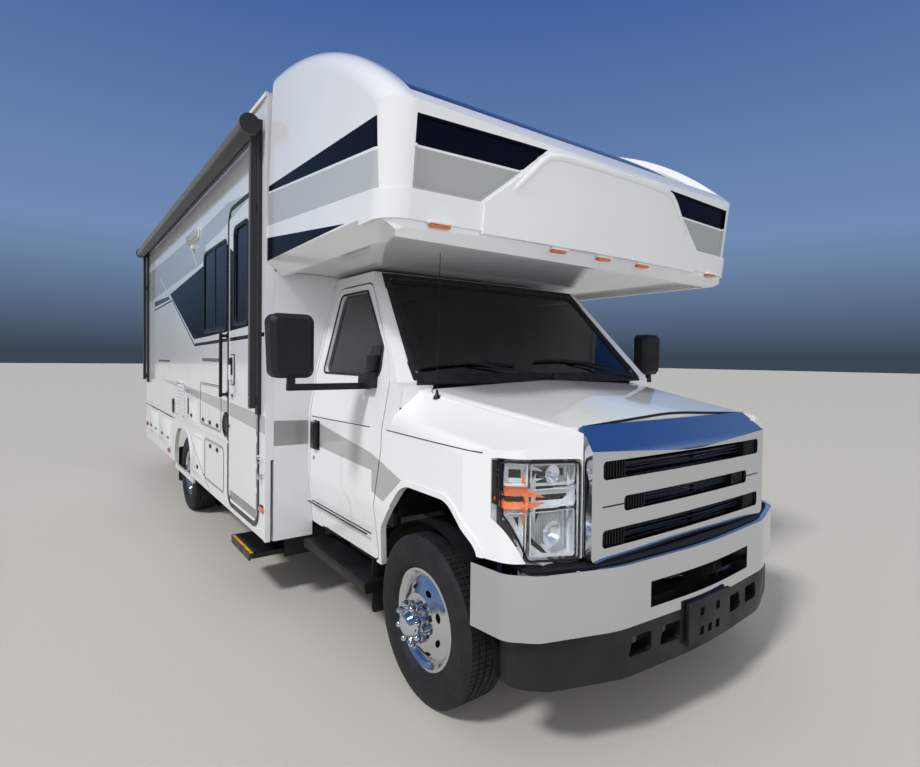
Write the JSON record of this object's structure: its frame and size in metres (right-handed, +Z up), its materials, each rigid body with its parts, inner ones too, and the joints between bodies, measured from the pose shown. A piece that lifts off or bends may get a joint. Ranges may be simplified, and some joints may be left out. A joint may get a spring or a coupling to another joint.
{
  "type": "class C motorhome on a cutaway van chassis",
  "caption": "Class C motorhome: a van cab with a sleeping cap above it, a box body with entry door and hatches, steered front wheels and twin rear wheels.",
  "frame": {"origin": "on the ground, under the middle of the overall length and width", "axes": "+X to the driver's side, +Y to the rear, +Z up"},
  "size_m": [3.002, 7.67, 3.43],
  "materials": {
    "white_gelcoat": "gloss gelcoat laminate with stripes",
    "white_body_paint": "gloss white paint over steel",
    "roof_membrane": "matte white membrane",
    "chrome": "bright chrome",
    "polished_wheel": "polished cover",
    "lamp_lens": "clear lens over bright reflectors",
    "red_lens": "red lens",
    "black_plastic": "textured black",
    "black_metal": "satin black powder coat",
    "chassis_black": "chassis black",
    "cast_grey": "raw casting",
    "tyre": "black rubber",
    "cab_glass": "clear safety glass",
    "dark_glass": "dark tinted pane",
    "cap_tint": "dark blue gloss",
    "floor_board": "laminated floor",
    "dash_plastic": "grained dark grey",
    "seat_fabric": "woven grey cloth",
    "awning_fabric": "rolled black fabric on black arms",
    "cooler_cover": "white moulded cover"
  },
  "bodies": {
    "vehicle": {"chassis_frame": "chassis_black", "front_axle_beams": "chassis_black", "rear_axle": "cast_grey", "engine_block": "cast_grey", "underfloor_tanks": "black_plastic", "radiator_support": "black_plastic", "grille": "chrome", "fender_left": "white_body_paint", "fender_right": "white_body_paint", "headlamps": "lamp_lens", "front_bumper": "chrome", "front_valance": "black_plastic", "cab_frame": "white_body_paint", "side_skirts": "white_gelcoat", "windshield": "cab_glass", "cab_floor": "dash_plastic", "dashboard": "dash_plastic", "cab_seats": "seat_fabric", "running_boards": "black_plastic", "house_floor": "floor_board", "house_wall_left": "white_gelcoat", "house_wall_right": "white_gelcoat", "rear_wall": "white_gelcoat", "front_wall": "white_gelcoat", "roof": "roof_membrane", "front_cap": "white_gelcoat", "cap_window": "cap_tint", "house_windows": "dark_glass", "grab_handle": "black_metal", "step_carrier": "chassis_black", "awning": "awning_fabric", "rear_bumper": "black_metal", "hitch_receiver": "black_metal", "tail_lamps": "red_lens", "ladder": "black_metal", "roof_units": "cooler_cover"},
    "knuckle_left": {"knuckle_left": "cast_grey"},
    "knuckle_right": {"knuckle_right": "cast_grey"},
    "front_wheel_left": {"front_wheel_left": "polished_wheel", "front_tyre_left": "tyre"},
    "front_wheel_right": {"front_wheel_right": "polished_wheel", "front_tyre_right": "tyre"},
    "rear_wheels_left": {"rear_wheels_left": "polished_wheel", "rear_tyres_left": "tyre"},
    "rear_wheels_right": {"rear_wheels_right": "polished_wheel", "rear_tyres_right": "tyre"},
    "steering_wheel": {"steering_wheel": "dash_plastic"},
    "hood": {"hood": "white_body_paint"},
    "cab_door_left": {"cab_door_left": "white_body_paint", "cab_door_glass_left": "cab_glass", "mirror_left": "black_plastic"},
    "cab_door_right": {"cab_door_right": "white_body_paint", "cab_door_glass_right": "cab_glass", "mirror_right": "black_plastic"},
    "entry_door": {"entry_door": "white_gelcoat", "entry_door_glass": "dark_glass"},
    "entry_step": {"entry_step": "black_metal"},
    "storage_hatch_left": {"storage_hatch_left": "white_gelcoat"},
    "storage_hatch_right": {"storage_hatch_right": "white_gelcoat"},
    "skirt_hatch_right": {"skirt_hatch_right": "white_gelcoat"}
  },
  "joints": [
    {"name": "steer_left", "type": "hinge", "parent": "vehicle", "child": "knuckle_left", "pos_m": [0.79, -3.035, 0.3715], "axis": [0, 0, 1], "range_deg": [-30, 30]},
    {"name": "front_wheel_spin_left", "type": "hinge", "parent": "knuckle_left", "child": "front_wheel_left", "pos_m": [0.881, -3.035, 0.3715], "axis": [1, 0, 0], "continuous": true},
    {"name": "rear_wheel_spin_left", "type": "hinge", "parent": "vehicle", "child": "rear_wheels_left", "pos_m": [0.99, 0.978, 0.3715], "axis": [1, 0, 0], "continuous": true},
    {"name": "cab_door_hinge_left", "type": "hinge", "parent": "vehicle", "child": "cab_door_left", "pos_m": [1.005, -2.705, 1.1], "axis": [0, 0, -1], "range_deg": [0, 65]},
    {"name": "storage_hatch_hinge_left", "type": "hinge", "parent": "vehicle", "child": "storage_hatch_left", "pos_m": [1.27, -0.217, 1.306], "axis": [0, -1, 0], "range_deg": [0, 95]},
    {"name": "steer_right", "type": "hinge", "parent": "vehicle", "child": "knuckle_right", "pos_m": [-0.79, -3.035, 0.3715], "axis": [0, 0, 1], "range_deg": [-30, 30]},
    {"name": "front_wheel_spin_right", "type": "hinge", "parent": "knuckle_right", "child": "front_wheel_right", "pos_m": [-0.881, -3.035, 0.3715], "axis": [1, 0, 0], "continuous": true},
    {"name": "rear_wheel_spin_right", "type": "hinge", "parent": "vehicle", "child": "rear_wheels_right", "pos_m": [-0.99, 0.978, 0.3715], "axis": [1, 0, 0], "continuous": true},
    {"name": "cab_door_hinge_right", "type": "hinge", "parent": "vehicle", "child": "cab_door_right", "pos_m": [-1.005, -2.705, 1.1], "axis": [0, 0, 1], "range_deg": [0, 65]},
    {"name": "storage_hatch_hinge_right", "type": "hinge", "parent": "vehicle", "child": "storage_hatch_right", "pos_m": [-1.27, -0.217, 1.306], "axis": [0, 1, 0], "range_deg": [0, 95]},
    {"name": "steering_wheel_turn", "type": "hinge", "parent": "vehicle", "child": "steering_wheel", "pos_m": [0.55, -2.345, 1.3], "axis": [0, 0.5736, 0.8192], "range_deg": [-480, 480]},
    {"name": "hood_hinge", "type": "hinge", "parent": "vehicle", "child": "hood", "pos_m": [0, -2.84, 1.428], "axis": [-1, 0, 0], "range_deg": [0, 50]},
    {"name": "entry_door_hinge", "type": "hinge", "parent": "vehicle", "child": "entry_door", "pos_m": [-1.27, -1.553, 1.5], "axis": [0, 0, 1], "range_deg": [0, 100]},
    {"name": "skirt_hatch_hinge_right", "type": "hinge", "parent": "vehicle", "child": "skirt_hatch_right", "pos_m": [-1.27, -0.353, 0.846], "axis": [0, 1, 0], "range_deg": [0, 90]},
    {"name": "entry_step_slide", "type": "slide", "parent": "vehicle", "child": "entry_step", "axis": [-1, 0, 0], "range_m": [0, 0.24]}
  ],
  "couplings": [
    {"joint": "steer_right", "follows": "steer_left", "ratio": 1},
    {"joint": "steering_wheel_turn", "follows": "steer_left", "ratio": 16}
  ]
}
